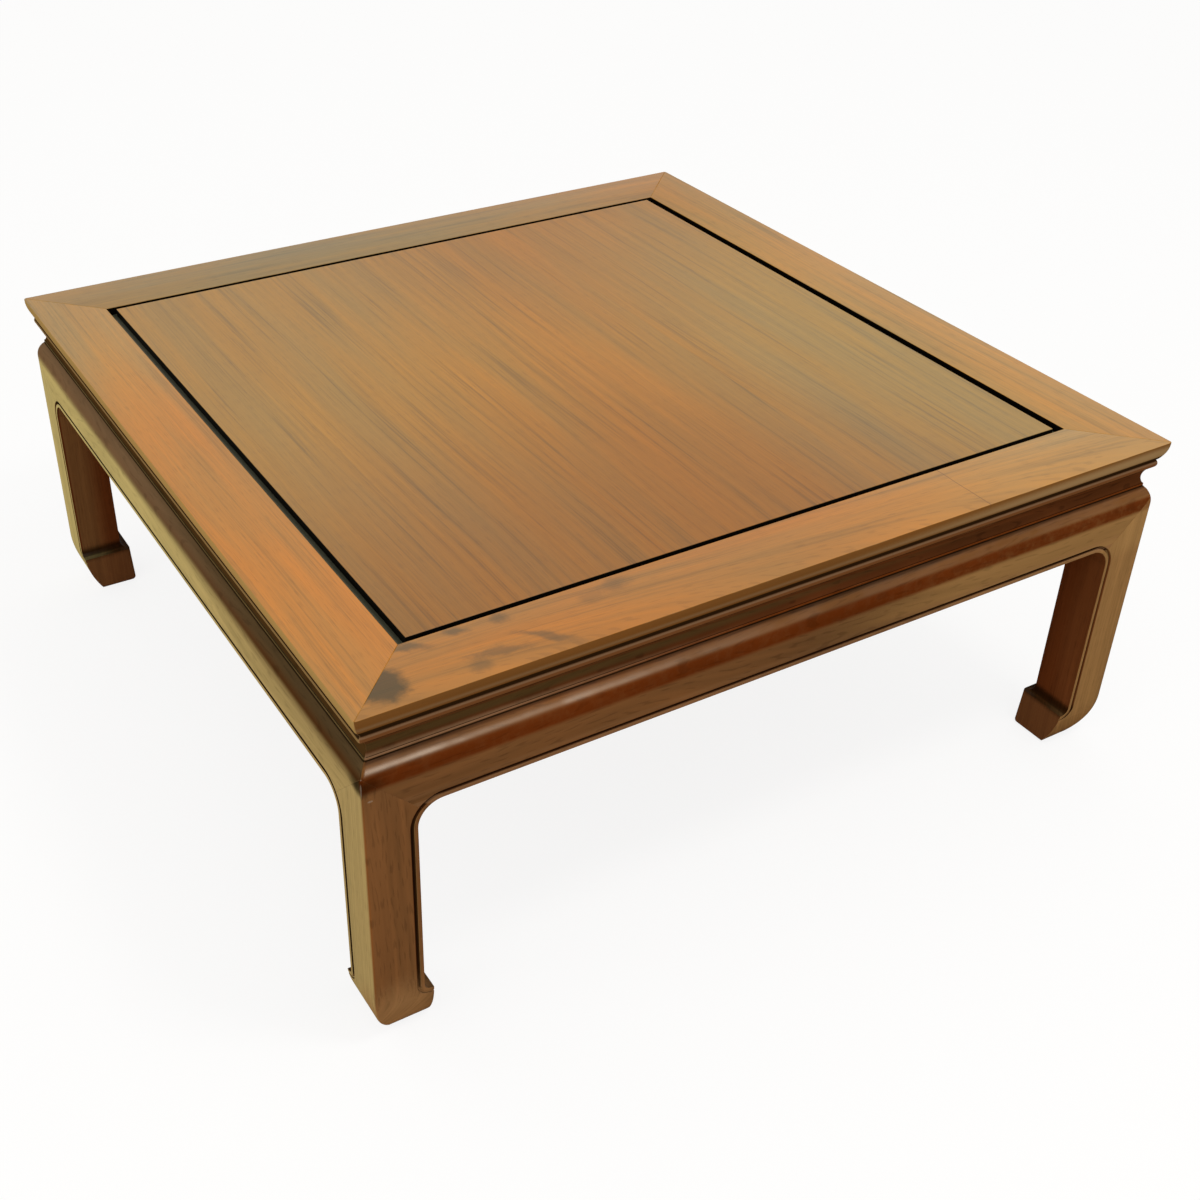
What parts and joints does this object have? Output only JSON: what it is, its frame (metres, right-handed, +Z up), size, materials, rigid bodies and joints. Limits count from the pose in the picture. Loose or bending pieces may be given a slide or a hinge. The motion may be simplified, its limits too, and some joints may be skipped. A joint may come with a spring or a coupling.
{
  "type": "coffee table",
  "caption": "Low square table with a floating panel in a mitred frame, a hollow waist, swelling aprons and square legs on inward hoof feet.",
  "frame": {"origin": "on the floor under the middle of the top", "axes": "+Z up, the front faces -Y, +X to the right seen from the front"},
  "size_m": [0.914, 0.914, 0.381],
  "materials": {
    "frame_wood": "semi-gloss lacquered rosewood",
    "panel_wood": "semi-gloss lacquered rosewood",
    "base_wood": "semi-gloss lacquered dark rosewood",
    "brace_wood": "plain oiled wood",
    "peg_wood": "plain wood"
  },
  "bodies": {
    "root": {"top_rail_front": "frame_wood", "top_rail_back": "frame_wood", "top_rail_left": "frame_wood", "top_rail_right": "frame_wood", "panel_board_left": "panel_wood", "panel_board_middle": "panel_wood", "panel_board_right": "panel_wood", "waist_front": "base_wood", "waist_back": "base_wood", "waist_left": "base_wood", "waist_right": "base_wood", "apron_front": "base_wood", "apron_back": "base_wood", "apron_left": "base_wood", "apron_right": "base_wood", "leg_front_left": "base_wood", "leg_front_right": "base_wood", "leg_back_left": "base_wood", "leg_back_right": "base_wood", "panel_brace_front": "brace_wood", "panel_brace_middle": "brace_wood", "panel_brace_back": "brace_wood", "waist_pegs": "peg_wood"}
  },
  "joints": []
}
